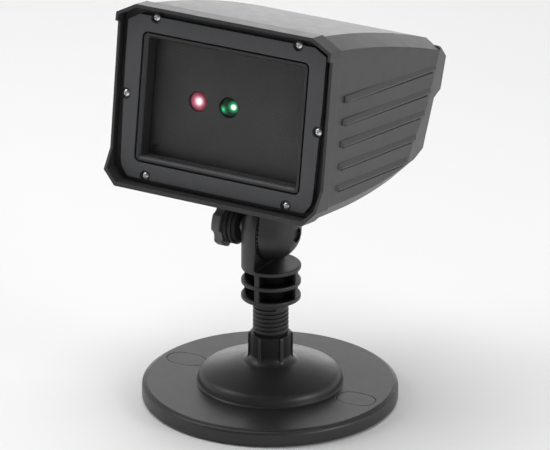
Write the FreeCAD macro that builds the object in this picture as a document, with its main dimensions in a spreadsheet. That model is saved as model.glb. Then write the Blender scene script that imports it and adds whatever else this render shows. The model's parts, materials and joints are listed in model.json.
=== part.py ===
import FreeCAD, Part
import Sketcher
import math
import os
import sys

# Light projector on a weighted disc base: a round base with a ribbed socket, a post that
# turns in the socket, a serrated tilt knuckle with a clamp knob, and a hooded lamp head
# with two laser modules behind a deep window.
#
# Frame: millimetres, +Z up, origin at the centre of the underside of the base.
# The window faces -Y. The clamp knob is on -X, the bolt head on +X.
# Head pieces are drawn in the head frame: origin on the tilt axis, y to the rear, z up
# through the neck, and are placed by HEAD (tilt axis height and rest pitch).

os.makedirs("parts", exist_ok=True)
doc = FreeCAD.newDocument("light_projector")
Vector = FreeCAD.Vector
Rotation = FreeCAD.Rotation
Placement = FreeCAD.Placement

PLUS_X, MINUS_X = Vector(1, 0, 0), Vector(-1, 0, 0)
PLUS_Y, MINUS_Y = Vector(0, 1, 0), Vector(0, -1, 0)
PLUS_Z = Vector(0, 0, 1)

# ---------------------------------------------------------------- driving sizes
sheet = doc.addObject("Spreadsheet::Sheet", "Sizes")
size_names = []


class Dim:
    """A number together with the sheet expression it comes from."""

    def __init__(self, value, text):
        self.value = float(value)
        self.text = text

    @staticmethod
    def lift(other):
        if isinstance(other, Dim):
            return other
        return Dim(other, "%.6g" % other if other >= 0 else "(%.6g)" % other)

    def __add__(self, other):
        other = Dim.lift(other)
        return Dim(self.value + other.value, "(%s + %s)" % (self.text, other.text))

    def __sub__(self, other):
        other = Dim.lift(other)
        return Dim(self.value - other.value, "(%s - %s)" % (self.text, other.text))

    def __rsub__(self, other):
        return Dim.lift(other) - self

    def __mul__(self, other):
        other = Dim.lift(other)
        return Dim(self.value * other.value, "(%s * %s)" % (self.text, other.text))

    def __neg__(self):
        return Dim(-self.value, "(0 - %s)" % self.text)

    def __float__(self):
        return self.value


def size(alias, value):
    """Write a driving size to the next sheet row and return it as a Dim."""
    size_names.append(alias)
    row = len(size_names)
    sheet.set("A%d" % row, alias.replace("_", " "))
    sheet.set("B%d" % row, "%.6g" % value)
    sheet.setAlias("B%d" % row, alias)
    return Dim(value, "Sizes.%s" % alias)


def num(value):
    return float(value)


# base and socket
base_radius = size("base_radius", 75.0)
base_top = size("base_top", 10.5)
base_wall = size("base_wall", 2.4)
dome_radius = size("dome_radius", 43.2)
collar_top = size("collar_top", 40.8)
collar_radius = size("collar_radius", 12.0)
collar_rib_radius = size("collar_rib_radius", 13.1)
collar_rib_width = size("collar_rib_width", 2.0)
bore_radius = size("bore_radius", 9.52)
# post
spigot_radius = size("spigot_radius", 9.45)
spigot_foot = size("spigot_foot", 14.0)
shank_radius = size("shank_radius", 10.45)
thread_low = size("thread_low", 41.9)
thread_pitch = size("thread_pitch", 2.62)
thread_length = size("thread_length", 15.4)
disc_radius = size("disc_radius", 17.43)
disc_thick = size("disc_thick", 2.7)
disc_low = size("disc_low", 62.6)
disc_step = size("disc_step", 9.27)
rib_thick = size("rib_thick", 2.9)
# tilt knuckle and clamp knob
pivot_height = size("pivot_height", 104.5)
head_pitch = size("head_pitch", 8.0)
tooth_height = size("tooth_height", 0.95)
tooth_gap = size("tooth_gap", 0.05)
tooth_inner = size("tooth_inner", 10.5)
tooth_outer = size("tooth_outer", 16.7)
bolt_radius = size("bolt_radius", 2.45)
bolt_hole = size("bolt_hole", 2.53)
seat_offset = size("seat_offset", 16.6)
washer_thick = size("washer_thick", 1.0)
knob_radius = size("knob_radius", 15.0)
knob_inner = size("knob_inner", 26.4)
knob_outer = size("knob_outer", 32.0)
hub_radius = size("hub_radius", 12.6)
# head
wall = size("wall", 2.2)
bezel_front = size("bezel_front", 71.5)
bezel_thick = size("bezel_thick", 3.0)
bezel_half = size("bezel_half", 63.7)
bezel_bottom = size("bezel_bottom", 34.3)
bezel_upper = size("bezel_upper", 128.9)
window_half = size("window_half", 52.6)
window_bottom = size("window_bottom", 44.8)
window_upper = size("window_upper", 118.5)
gasket_thick = size("gasket_thick", 0.8)
panel_front = size("panel_front", 59.6)
panel_thick = size("panel_thick", 2.0)
red_x = size("red_x", -21.5)
green_x = size("green_x", -1.6)
laser_z = size("laser_z", 82.2)
laser_radius = size("laser_radius", 6.0)
neck_flange = size("neck_flange", 19.5)
neck_step = size("neck_step", 18.4)
neck_top = size("neck_top", 30.0)
# fastenings
screw_radius = size("screw_radius", 1.1)
pilot_radius = size("pilot_radius", 1.15)
doc.recompute()

PIVOT = Vector(0, 0, num(pivot_height))
AT_PIVOT = Placement(PIVOT, Rotation())
HEAD = Placement(PIVOT, Rotation(PLUS_X, -num(head_pitch)))
kept = []


# ---------------------------------------------------------------- objects and sketches
def keep(piece):
    """Mark a finished piece for checking and export."""
    kept.append(piece)
    return piece


def add(kind, label, placement=None):
    made = doc.addObject(kind, label)
    made.Label = label
    if placement is not None:
        made.Placement = placement
    return made


def new_body(label, placement=None):
    return add("PartDesign::Body", label, placement)


def bind(obj, prop, value):
    setattr(obj, prop, num(value))
    if isinstance(value, Dim):
        obj.setExpression(prop, value.text)


def origin(body, role):
    return [part for part in body.Origin.OriginFeatures if part.Role == role][0]


def fix_point(sketch, geo, vertex, x, y):
    for kind, value in (("DistanceX", x), ("DistanceY", y)):
        index = sketch.addConstraint(
            Sketcher.Constraint(kind, -1, 1, geo, vertex, num(value)))
        if isinstance(value, Dim):
            sketch.setExpression("Constraints[%d]" % index, value.text)


def circle_through(start, middle, end):
    """Centre and radius of the circle through three points."""
    mid_x, mid_y = middle.x - start.x, middle.y - start.y
    end_x, end_y = end.x - start.x, end.y - start.y
    scale = 2 * (mid_x * end_y - mid_y * end_x)
    mid_square, end_square = mid_x * mid_x + mid_y * mid_y, end_x * end_x + end_y * end_y
    x = (end_y * mid_square - mid_y * end_square) / scale
    y = (mid_x * end_square - end_x * mid_square) / scale
    return Vector(start.x + x, start.y + y, 0), math.hypot(x, y)


def outline(sketch, points):
    """Closed outline. A point is (x, y); an arc is (x, y, mid_x, mid_y), reaching x, y
    from the point before it by way of the middle point."""
    count = len(points)
    ends, arcs = [], []
    for i in range(count):
        target = points[(i + 1) % count]
        start = Vector(num(points[i][0]), num(points[i][1]), 0)
        end = Vector(num(target[0]), num(target[1]), 0)
        if len(target) == 4:
            middle = Vector(target[2], target[3], 0)
            centre, radius = circle_through(start, middle, end)
            ccw = (middle - start).cross(end - start).z > 0
            low, high = (start, end) if ccw else (end, start)
            angle_low = math.atan2(low.y - centre.y, low.x - centre.x)
            angle_high = math.atan2(high.y - centre.y, high.x - centre.x)
            if angle_high < angle_low:
                angle_high += 2 * math.pi
            curve = Part.Circle(centre, PLUS_Z, radius)
            geo = sketch.addGeometry(Part.ArcOfCircle(curve, angle_low, angle_high), False)
            ends.append((geo, 1, 2) if ccw else (geo, 2, 1))
            arcs.append((geo, centre, abs((end - start).y) > abs((end - start).x)))
        else:
            geo = sketch.addGeometry(Part.LineSegment(start, end), False)
            ends.append((geo, 1, 2))
    for i in range(count):
        geo, _, end_vertex = ends[i]
        following, start_vertex, _ = ends[(i + 1) % count]
        sketch.addConstraint(
            Sketcher.Constraint("Coincident", geo, end_vertex, following, start_vertex))
    for i in range(count):
        fix_point(sketch, ends[i][0], ends[i][1], points[i][0], points[i][1])
    for geo, centre, along_x in arcs:
        kind, value = ("DistanceX", centre.x) if along_x else ("DistanceY", centre.y)
        sketch.addConstraint(Sketcher.Constraint(kind, -1, 1, geo, 3, value))


def circle(sketch, x, y, radius):
    curve = Part.Circle(Vector(num(x), num(y), 0), PLUS_Z, num(radius))
    geo = sketch.addGeometry(curve, False)
    fix_point(sketch, geo, 3, x, y)
    index = sketch.addConstraint(Sketcher.Constraint("Radius", geo, num(radius)))
    if isinstance(radius, Dim):
        sketch.setExpression("Constraints[%d]" % index, radius.text)


def obround(sketch, centre_x, half_length, radius):
    """Two straight sides along x, centred on y = 0, joined by half circles."""
    left, right = centre_x - half_length, centre_x + half_length
    quarter = math.pi / 2
    first = sketch.GeometryCount
    for curve in (
            Part.LineSegment(Vector(left, -radius, 0), Vector(right, -radius, 0)),
            Part.ArcOfCircle(Part.Circle(Vector(right, 0, 0), PLUS_Z, radius), -quarter, quarter),
            Part.LineSegment(Vector(right, radius, 0), Vector(left, radius, 0)),
            Part.ArcOfCircle(Part.Circle(Vector(left, 0, 0), PLUS_Z, radius),
                             quarter, 3 * quarter)):
        sketch.addGeometry(curve, False)
    for i in range(4):
        sketch.addConstraint(
            Sketcher.Constraint("Coincident", first + i, 2, first + (i + 1) % 4, 1))
    for i in range(4):
        sketch.addConstraint(Sketcher.Constraint("Block", first + i))


def draw(body, plane, offset, *loops):
    """Sketch on one of the body's own origin planes ("XY", "XZ" or "YZ"), shifted along
    its normal. A loop is a list of outline points or a circle tuple (x, y, radius)."""
    sketch = body.newObject("Sketcher::SketchObject", "Sketch")
    sketch.AttachmentSupport = [(origin(body, plane + "_Plane"), "")]
    sketch.MapMode = "FlatFace"
    sketch.AttachmentOffset = Placement(Vector(0, 0, num(offset)), Rotation())
    if isinstance(offset, Dim):
        sketch.setExpression("AttachmentOffset.Base.z", offset.text)
    for loop in loops:
        if isinstance(loop, tuple):
            circle(sketch, *loop)
        else:
            outline(sketch, loop)
    return sketch


def rectangle(x0, x1, y0, y1):
    return [(x0, y0), (x1, y0), (x1, y1), (x0, y1)]


def mirrored(points):
    """The points, then their mirror images in x = 0 in reverse order."""
    return points + [(-x, y) for x, y in reversed(points)]


def rounded_rectangle(half_width, bottom, top, corner):
    """Rectangle with rounded corners, symmetric about x = 0."""
    bulge = corner * (1 - math.sqrt(0.5))
    arc_x, arc_low, arc_high = num(half_width) - bulge, num(bottom) + bulge, num(top) - bulge
    return [(half_width - corner, bottom), (half_width, bottom + corner, arc_x, arc_low),
            (half_width, top - corner), (half_width - corner, top, arc_x, arc_high),
            (-half_width + corner, top), (-half_width, top - corner, -arc_x, arc_high),
            (-half_width, bottom + corner), (-half_width + corner, bottom, -arc_x, arc_low)]


# ---------------------------------------------------------------- body features
def pad(body, sketch, length, reverse=False, cut=False):
    kind = "Pocket" if cut else "Pad"
    feature = body.newObject("PartDesign::" + kind, kind)
    feature.Profile = sketch
    bind(feature, "Length", length)
    feature.Reversed = reverse
    body.Tip = feature
    return feature


def revolve(body, points, axis="V_Axis"):
    """Turn an XZ outline about one of the sketch axes."""
    sketch = draw(body, "XZ", 0.0, points)
    feature = body.newObject("PartDesign::Revolution", "Revolution")
    feature.Profile = sketch
    feature.ReferenceAxis = (sketch, [axis])
    feature.Angle = 360.0
    body.Tip = feature
    return feature


def polar(body, feature, axis, count):
    pattern = body.newObject("PartDesign::PolarPattern", "PolarPattern")
    pattern.Originals = [feature]
    pattern.Axis = (origin(body, axis), [""])
    pattern.Angle = 360
    pattern.Occurrences = count
    body.Tip = pattern


def fillet_rings(body, feature, ring_radius, fillet_radius):
    """Round every full circular edge of the given radius."""
    doc.recompute()
    names = ["Edge%d" % (i + 1) for i, edge in enumerate(feature.Shape.Edges)
             if edge.Closed and hasattr(edge.Curve, "Radius")
             and abs(edge.Curve.Radius - num(ring_radius)) < 0.01]
    fillet = body.newObject("PartDesign::Fillet", "Fillet")
    fillet.Base = (feature, names)
    fillet.Radius = fillet_radius
    body.Tip = fillet


def extrude(label, plane, loops, low, high, placement=None):
    """Body: closed loops on a plane, padded from low to high along that plane's own
    axis (x for YZ, y for XZ, z for XY)."""
    body = new_body(label, placement)
    # the XZ plane's normal points to -Y
    offset = -high if plane == "XZ" else low
    pad(body, draw(body, plane, offset, *loops), high - low)
    return body


def lofted(label, sections):
    """Body lofted through sections (y, outline points)."""
    body = new_body(label)
    sketches = [draw(body, "XZ", -y, points) for y, points in sections]
    loft = body.newObject("PartDesign::AdditiveLoft", "Loft")
    loft.Profile = sketches[0]
    loft.Sections = sketches[1:]
    loft.Ruled = False
    body.Tip = loft
    return body


# ---------------------------------------------------------------- simple solids, booleans
def primitive(kind, label, position, axis=PLUS_Z, **dims):
    solid = add("Part::" + kind, label)
    for prop, value in dims.items():
        bind(solid, prop, value)
    solid.Placement = Placement(Vector(*[num(q) for q in position]), Rotation(PLUS_Z, axis))
    return solid


def cylinder(label, radius, length, position, axis=PLUS_Z):
    return primitive("Cylinder", label, position, axis, Radius=radius, Height=length)


def cylinders(prefix, radius, length, positions, axis=PLUS_Z, first=0):
    """Equal cylinders, numbered from first."""
    return [cylinder("%s_%d" % (prefix, i), radius, length, position, axis)
            for i, position in enumerate(positions, first)]


def box(label, x_range, y_range, z_range):
    low, high = zip(x_range, y_range, z_range)
    return primitive("Box", label, low, Length=high[0] - low[0],
                     Width=high[1] - low[1], Height=high[2] - low[2])


def ball(label, radius, position):
    return primitive("Sphere", label, position, Radius=radius)


def hexagon(label, circumradius, length, position, axis):
    solid = primitive("Prism", label, position, axis, Circumradius=circumradius, Height=length)
    solid.Polygon = 6
    return solid


def fuse(label, objects, placement=None):
    joined = add("Part::MultiFuse", label, placement)
    joined.Shapes = objects
    return joined


def cut(label, base, tools, placement=None):
    tool = tools[0] if len(tools) == 1 else fuse(label + "_tools", tools)
    result = add("Part::Cut", label, placement)
    result.Base = base
    result.Tool = tool
    return result


def common(label, first, second):
    result = add("Part::MultiCommon", label)
    result.Shapes = [first, second]
    return result


def group(label, objects, placement=None):
    result = add("Part::Compound", label, placement)
    result.Links = objects
    return result


def at_y(spots, y):
    return [(x, y, z) for x, z in spots]


def at_z(spots, z):
    return [(x, y, z) for x, y in spots]


# ---------------------------------------------------------------- screws
PAN_RADIUS = 2.15
PAN_HEIGHT = 1.5
RECESS_HALF_WIDTH = 0.32


def pan_screw(label, position, axis, length):
    """Pan-head screw with a cross recess. The position is under the head, the axis points
    out of the head; the shank runs the other way."""
    screw = new_body(label)
    revolve(screw, [
        (0, -length), (screw_radius - 0.4, -length), (screw_radius, -length + 1.2),
        (screw_radius, 0), (PAN_RADIUS, 0), (PAN_RADIUS, PAN_HEIGHT * 0.45),
        (0, PAN_HEIGHT, PAN_RADIUS * 0.62, PAN_HEIGHT * 0.86)])
    reach = PAN_RADIUS * 0.56
    for half_x, half_y in ((reach, RECESS_HALF_WIDTH), (RECESS_HALF_WIDTH, reach)):
        slot = rectangle(-half_x, half_x, -half_y, half_y)
        pad(screw, draw(screw, "XY", PAN_HEIGHT + 0.1, slot), 1.1, cut=True)
    screw.Placement = Placement(Vector(*[num(q) for q in position]), Rotation(PLUS_Z, axis))
    return screw


def head_screws(label, prefix, positions, axis, length):
    """Compound of equal pan-head screws in the head frame."""
    screws = [pan_screw("%s_%d" % (prefix, i), position, axis, length)
              for i, position in enumerate(positions)]
    return group(label, screws, HEAD)


def cross_slots(label, suffix, x, y, reach, half_width, z_range):
    """Two crossed boxes that cut a screw-head recess."""
    return [
        box(label + "_slot" + suffix,
            (x - reach, x + reach), (y - half_width, y + half_width), z_range),
        box(label + "_slotb" + suffix,
            (x - half_width, x + half_width), (y - reach, y + reach), z_range)]


# ================================================================ BASE
PLATE_LOW = 1.5
PLATE_TOP = 3.5
PLATE_SCREW = 21.2      # x and y distance of the bottom plate screws from the axis

# half section of the base (x, z), from the foot of the socket up, out and back underneath
BASE_SECTION = [
    (4.3, 11.0), (4.3, spigot_foot - 0.05),
    (bore_radius, spigot_foot - 0.05), (bore_radius, collar_top - 0.7),
    (bore_radius + 0.6, collar_top), (collar_radius - 0.6, collar_top),
    (collar_radius, collar_top - 0.6, 11.83, 40.62), (collar_radius, 27.0),
    (17.6, 23.3, 13.9, 24.5), (38.2, 17.6, 28.4, 20.9), (42.2, 12.6, 41.2, 15.4),
    (42.5, 11.2), (dome_radius, base_top), (72.2, base_top), (72.6, base_top - 0.55),
    (base_radius - 1.6, base_top - 0.75), (base_radius, base_top - 2.6, 74.45, 9.1),
    (base_radius, 2.4), (base_radius - 1.4, 0.8, 74.6, 1.25), (72.7, 0.8),
    (72.7, base_top - base_wall), (dome_radius, base_top - base_wall),
    (20.5, 17.0, 32.0, 12.7), (14.6, 17.0), (12.6, 15.0), (12.6, 11.0)]

# upright rib on the socket (y, z)
COLLAR_RIB = [
    (-11.0, 23.0), (-11.0, collar_top - 0.15),
    (-(collar_rib_radius - 0.6), collar_top - 0.15), (-collar_rib_radius, collar_top - 1.1),
    (-collar_rib_radius, 27.5), (-15.4, 22.4, -13.7, 24.4), (-15.4, 21.2), (-11.0, 21.2)]


def base_shell():
    shell = new_body("base_shell")
    revolve(shell, BASE_SECTION)
    rib_sketch = draw(shell, "YZ", collar_rib_width * -0.5, COLLAR_RIB)
    polar(shell, pad(shell, rib_sketch, collar_rib_width), "Z_Axis", 6)
    # bosses for the bottom plate screws
    boss_sketch = draw(shell, "XY", PLATE_TOP, (PLATE_SCREW, PLATE_SCREW, 3.6))
    polar(shell, pad(shell, boss_sketch, 10.0), "Z_Axis", 4)
    pilot_sketch = draw(shell, "XY", 3.0, (PLATE_SCREW, PLATE_SCREW, pilot_radius))
    polar(shell, pad(shell, pilot_sketch, 8.5, reverse=True, cut=True), "Z_Axis", 4)
    # an obround mark scored into the top on each side
    for side in (-1, 1):
        mark = draw(shell, "XY", base_top + 0.1)
        for radius in (8.4, 7.85):
            obround(mark, 57.0 * side, 3.8, radius)
        pad(shell, mark, 0.5, cut=True)
    return shell


def base_bottom_plate():
    plate = new_body("base_bottom_plate")
    rings = draw(plate, "XY", PLATE_LOW, (0, 0, base_radius - 2.6), (0, 0, 15.0))
    pad(plate, rings, PLATE_TOP - PLATE_LOW)
    # head sinks, then clearance holes
    for radius, depth in ((3.1, 1.1), (1.7, 3.0)):
        hole_sketch = draw(plate, "XY", PLATE_LOW - 0.1, (PLATE_SCREW, PLATE_SCREW, radius))
        polar(plate, pad(plate, hole_sketch, depth, reverse=True, cut=True), "Z_Axis", 4)
    return plate


def base_screws():
    screws = []
    for i, (side_x, side_y) in enumerate(((1, 1), (-1, 1), (-1, -1), (1, -1))):
        x, y = side_x * PLATE_SCREW, side_y * PLATE_SCREW
        head = cylinder("base_screw_head_%d" % i, 2.9, 1.0, (x, y, PLATE_LOW))
        shank = cylinder("base_screw_shank_%d" % i, screw_radius, 9.0, (x, y, 2.4))
        solid = fuse("base_screw_body_%d" % i, [head, shank])
        slots = cross_slots("base_screw", "_%d" % i, x, y, 1.9, 0.35, (1.4, 2.0))
        screws.append(cut("base_screw_%d" % i, solid, slots))
    return group("base_screws", screws)


keep(base_shell())
keep(base_bottom_plate())
keep(extrude("base_weight", "XY", [(0, 0, 70.0), (0, 0, 37.0)],
             PLATE_TOP, base_top - base_wall - 0.1))
keep(extrude("base_foot_pad", "XY", [(0, 0, 68.0)], 0.0, 1.5))
keep(base_screws())

# ================================================================ POST
KNUCKLE_FOOT = 83.0                 # height where the column above the discs starts
face = tooth_gap + tooth_height     # from the mid plane to the root of the teeth


def post_turned():
    turned = new_body("post_turned")
    section = [(0, 10.9), (4.2, 10.9), (4.2, spigot_foot), (spigot_radius, spigot_foot),
               (spigot_radius, thread_low - 0.6), (shank_radius, thread_low + 0.6),
               (shank_radius, disc_low)]
    for k in range(3):
        z = disc_low + disc_step * k
        section += [(disc_radius, z), (disc_radius, z + disc_thick)]
        if k < 2:
            section += [(shank_radius, z + disc_thick), (shank_radius, z + disc_step)]
    section.append((0, disc_low + disc_step * 2 + disc_thick))
    fillet_rings(turned, revolve(turned, section), disc_radius, 0.75)

    # four upright ribs between the flange discs
    rib_low, rib_high = disc_low + 1.0, disc_low + disc_step * 2 + 1.0
    rib_edge = -(disc_radius - 0.35)
    rib_sketch = draw(turned, "YZ", rib_thick * -0.5, [
        (rib_edge, rib_low), (rib_edge, rib_high), (-9.0, rib_high), (-9.0, rib_low)])
    polar(turned, pad(turned, rib_sketch, rib_thick), "Z_Axis", 4)

    # coarse thread, cut as a helix
    start = thread_low + 0.9
    mouth, root = shank_radius + 0.4, shank_radius - 0.95
    groove = draw(turned, "XZ", 0.0, [
        (mouth, start - 1.05), (mouth, start + 1.05), (root, start + 0.28), (root, start - 0.28)])
    thread = turned.newObject("PartDesign::SubtractiveHelix", "Thread")
    thread.Profile = groove
    thread.ReferenceAxis = (groove, ["V_Axis"])
    thread.Mode = "pitch-height-angle"
    bind(thread, "Pitch", thread_pitch)
    bind(thread, "Height", thread_length)
    turned.Tip = thread

    # blind hole for the retaining screw
    pad(turned, draw(turned, "XY", 10.0, (0, 0, 2.0)), 16.0, reverse=True, cut=True)
    return turned


def toothed_ring(label, placement):
    """Ring of radial V teeth on -x of its own mid plane, points towards that plane."""
    ring = new_body(label, placement)
    rings = draw(ring, "YZ", -(face + 0.6), (0, 0, tooth_outer), (0, 0, tooth_inner))
    pad(ring, rings, tooth_height + 0.6)
    gap = draw(ring, "XY", 8.0, [(0.1, -0.95), (0.1, 0.95), (-(face - 0.15), 0.0)])
    polar(ring, pad(ring, gap, 10.0, reverse=True, cut=True), "X_Axis", 40)
    return ring


def post():
    turned = post_turned()
    teeth = toothed_ring("post_teeth", AT_PIVOT)
    column = cylinder("post_column", disc_radius, pivot_height - KNUCKLE_FOOT,
                      (0, 0, KNUCKLE_FOOT))
    dome = ball("post_dome", disc_radius, (0, 0, pivot_height))
    half = box("post_half", (-25.0, -face), (-25.0, 25.0), (KNUCKLE_FOOT, 125.0))
    solid = common("post_knuckle_half", fuse("post_knuckle_full", [column, dome]), half)
    seat = cylinder("post_seat", 6.8, 6.0, (-seat_offset, 0, pivot_height), MINUS_X)
    hole = cylinder("post_bolt_hole", bolt_hole, 40.0, (5.0, 0, pivot_height), MINUS_X)
    knuckle = cut("post_knuckle", solid, [seat, hole])
    joined = add("Part::Fuse", "post")
    joined.Base = turned
    joined.Tool = fuse("post_upper", [knuckle, teeth])
    return joined


def post_screw():
    head = cylinder("post_screw_head", 4.0, 2.6, (0, 0, 6.9))
    shank = cylinder("post_screw_shank", 1.95, 15.0, (0, 0, 9.0))
    slots = cross_slots("post_screw", "", 0.0, 0.0, 2.6, 0.45, (6.8, 8.1))
    return cut("post_screw", fuse("post_screw_body", [head, shank]), slots)


keep(post())
# retaining washer and screw under the socket floor
keep(cut("post_washer", cylinder("post_washer_disc", 9.0, 1.4, (0, 0, 9.5)),
         [cylinder("post_washer_hole", 2.1, 3.0, (0, 0, 8.5))]))
keep(post_screw())

# ================================================================ CLAMP KNOB
INSERT_END = 30.2       # distance of the insert's far end from the mid plane
INSERT_RADIUS = 3.6
hub_end = seat_offset + washer_thick

# hub with two raised rings: (x, radius)
HUB_SECTION = [
    (-knob_inner - 1.0, 0), (-knob_inner - 1.0, hub_radius - 1.0),
    (-25.6, hub_radius - 1.2), (-25.2, hub_radius), (-23.7, hub_radius),
    (-23.3, hub_radius - 1.2), (-22.5, hub_radius - 1.2), (-22.1, hub_radius),
    (-20.6, hub_radius), (-20.2, hub_radius - 1.2), (-18.8, hub_radius - 1.5),
    (-18.4, hub_radius - 2.0), (-18.4, 5.4), (-hub_end, 5.2), (-hub_end, 0)]


def knob_grip():
    knob = new_body("knob_grip", AT_PIVOT)
    disc = pad(knob, draw(knob, "YZ", -knob_outer, (0, 0, knob_radius)),
               knob_outer - knob_inner)
    fillet_rings(knob, disc, knob_radius, 0.9)
    # five scallops round the rim
    angle = math.radians(204)
    scallop = draw(knob, "YZ", -knob_outer - 1.0,
                   (18.9 * math.cos(angle), 18.9 * math.sin(angle), 6.6))
    polar(knob, pad(knob, scallop, 9.0, reverse=True, cut=True), "X_Axis", 5)
    revolve(knob, HUB_SECTION, "H_Axis")
    # cavity for the insert
    cavity = draw(knob, "YZ", -INSERT_END, (0, 0, INSERT_RADIUS))
    pad(knob, cavity, 14.0, reverse=True, cut=True)
    # recess in the outer face
    recess = draw(knob, "YZ", -knob_outer - 0.5, (0, 0, 8.5))
    pad(knob, recess, 1.3, reverse=True, cut=True)
    return knob


def knob_insert():
    start = hub_end + 0.2
    solid = cylinder("knob_insert_body", INSERT_RADIUS, INSERT_END - start,
                     (-start, 0, pivot_height), MINUS_X)
    bore = cylinder("knob_insert_bore", 2.53, 11.9,
                    (-(hub_end - 0.5), 0, pivot_height), MINUS_X)
    return cut("knob_insert", solid, [bore])


keep(cut("clamp_washer",
         cylinder("clamp_washer_disc", 6.0, washer_thick,
                  (-seat_offset, 0, pivot_height), MINUS_X),
         [cylinder("clamp_washer_hole", bolt_hole, 5.0,
                   (-seat_offset + 2, 0, pivot_height), MINUS_X)]))
keep(knob_grip())
keep(knob_insert())

# ================================================================ HEAD: NECK AND BOLT
BOLT_HEAD_X = 11.5      # inner face of the bolt head
WIRE_HOLE_X = -6.0      # wire passage through neck and floor
WIRE_HOLE_RADIUS = 5.0
# neck screws (x, y), evenly round the neck
NECK_SCREWS = [(13.4 * math.cos(angle), 13.4 * math.sin(angle))
               for angle in [math.radians(45 + 90 * k) for k in range(4)]]


def tilt_neck():
    teeth = toothed_ring("neck_teeth", Placement(Vector(0, 0, 0), Rotation(PLUS_Z, 180)))
    column = cylinder("neck_cyl", disc_radius, neck_step + 1.0, (0, 0, 0))
    dome = ball("neck_ball", disc_radius, (0, 0, 0))
    half_box = box("neck_half_box", (face, 25.0), (-25.0, 25.0), (-25.0, 25.0))
    half = common("neck_half", fuse("neck_full", [column, dome]), half_box)
    flange = cylinder("neck_flange_disc", neck_flange, neck_top - neck_step,
                      (0, 0, neck_step))
    tools = [hexagon("neck_hex_pocket", 4.8, 8.0, (BOLT_HEAD_X, 0, 0), PLUS_X),
             cylinder("neck_bolt_hole", bolt_hole, 20.0, (-2.0, 0, 0), PLUS_X),
             cylinder("neck_core", WIRE_HOLE_RADIUS, 30.0, (WIRE_HOLE_X, 0, 24.0))]
    tools += cylinders("neck_pilot", pilot_radius, 9.0, at_z(NECK_SCREWS, 21.5))
    return cut("tilt_neck", fuse("neck_solid", [half, flange, teeth]), tools, HEAD)


keep(tilt_neck())
keep(fuse("pivot_bolt",
          [hexagon("bolt_hex", 4.62, 3.5, (BOLT_HEAD_X, 0, 0), PLUS_X),
           cylinder("bolt_shank", bolt_radius, 40.1, (12.0, 0, 0), MINUS_X)], HEAD))

# ================================================================ HEAD: SHELL FORMS
WALL = num(wall)
GASKET = num(gasket_thick)
BEZEL_BACK = -num(bezel_front - bezel_thick)
LEDGE_FRONT = -num(bezel_front - bezel_thick - gasket_thick)    # behind the bezel gasket
PANEL_FRONT = -num(panel_front)
PANEL_BACK = PANEL_FRONT + num(panel_thick)

# outer skin, front to rear: y, then x and z of the top edge, the shoulder, the lower
# edge of the side wall and the bottom edge
STATIONS = [
    (-75.0, 55.9, 134.6, 68.5, 128.3, 68.2, 37.9, 60.1, 29.7),
    (-45.0, 55.7, 132.1, 68.2, 126.2, 67.6, 38.2, 59.7, 29.9),
    (-10.0, 55.6, 127.9, 68.1, 121.8, 66.8, 39.3, 59.1, 31.0),
    (25.0, 55.5, 122.1, 67.7, 116.0, 66.0, 43.2, 58.7, 35.1),
    (75.0, 55.5, 111.2, 67.0, 105.0, 65.2, 53.0, 58.5, 45.5),
]

# rear edge of the shell, seen from the side, top down (y, z)
REAR = [(68.4, 116.0), (66.6, 113.0), (62.4, 107.6), (54.0, 77.0),
        (38.6, 53.6), (30.0, 42.4), (29.6, 28.0)]

# parting line between the roof cover and the lower housing (y, z)
PARTING = [(-84.0, 123.5), (-66.0, 123.5), (-62.0, 126.2), (-45.0, 124.9),
           (-10.0, 120.6), (25.0, 114.9), (80.0, 102.6)]

# front lip and the pocket inside it, seen from the front (x, z)
LIP = mirrored([(-56.6, 135.1), (-68.9, 128.6), (-69.0, 123.5),
                (-69.0, 49.3), (-68.7, 37.5), (-61.0, 29.2)])
POCKET = mirrored([(-56.0, 133.2), (-67.3, 127.3), (-67.4, 122.0),
                   (-67.4, 49.3), (-67.0, 38.4), (-60.1, 31.5)])
# region ahead of the lip, seen from the side (y, z): the lip stands further forward at
# the top and bottom than along the sides
LIP_FRONT = [(-76.45, 136.0), (-76.75, 123.5), (-73.6, 122.8), (-72.5, 49.3),
             (-78.8, 37.5), (-79.05, 28.0), (-90.0, 28.0), (-90.0, 136.0)]

# screw places seen from the front (x, z); the first two bezel screws enter the top cover
BEZEL_SCREWS = [(-45.7, 128.3), (45.7, 128.3), (-62.0, 81.8),
                (62.0, 81.8), (-45.7, 36.3), (45.7, 36.3)]
PANEL_SCREWS = [(-58.6, 58.0), (58.6, 58.0), (-58.6, 106.0), (58.6, 106.0)]
REAR_LOWER = [(-55.6, 56.0), (55.6, 56.0)]
REAR_UPPER = [(-47.0, 99.0), (47.0, 99.0)]

# louvre ribs on the side walls: z, y where the rib starts
LOUVRES = [(97.0, -56.2), (83.8, -55.8), (71.2, -55.8), (58.3, -55.6), (46.2, -56.6)]
LOUVRE_TAPER = math.degrees(math.atan2(2.55, 113.0))    # draw-in of the side walls

BOARD_Z = 45.0          # underside of the circuit board
BOARD_SCREWS = [(-31.0, -40.0), (31.0, -40.0), (-31.0, 20.0), (31.0, 20.0)]


def inset_section(station, depth, y=None):
    """Section (y, points) with the station's outline drawn in by depth."""
    station_y, top_x, top_z, shoulder_x, shoulder_z, wall_x, wall_z, low_x, low_z = station
    points = mirrored([
        (-(top_x - 0.45 * depth), top_z - depth),
        (-(shoulder_x - depth), shoulder_z - 0.25 * depth),
        (-(wall_x - depth), wall_z + 0.35 * depth),
        (-(low_x - 0.4 * depth), low_z + depth)])
    return (station_y if y is None else y), points


def inner_form(label, depth):
    """Shell form drawn in by depth and run on past both ends."""
    return lofted(label, [inset_section(STATIONS[0], depth, -82.0)]
                  + [inset_section(station, depth) for station in STATIONS[1:-1]]
                  + [inset_section(STATIONS[-1], depth, 92.0)])


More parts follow.
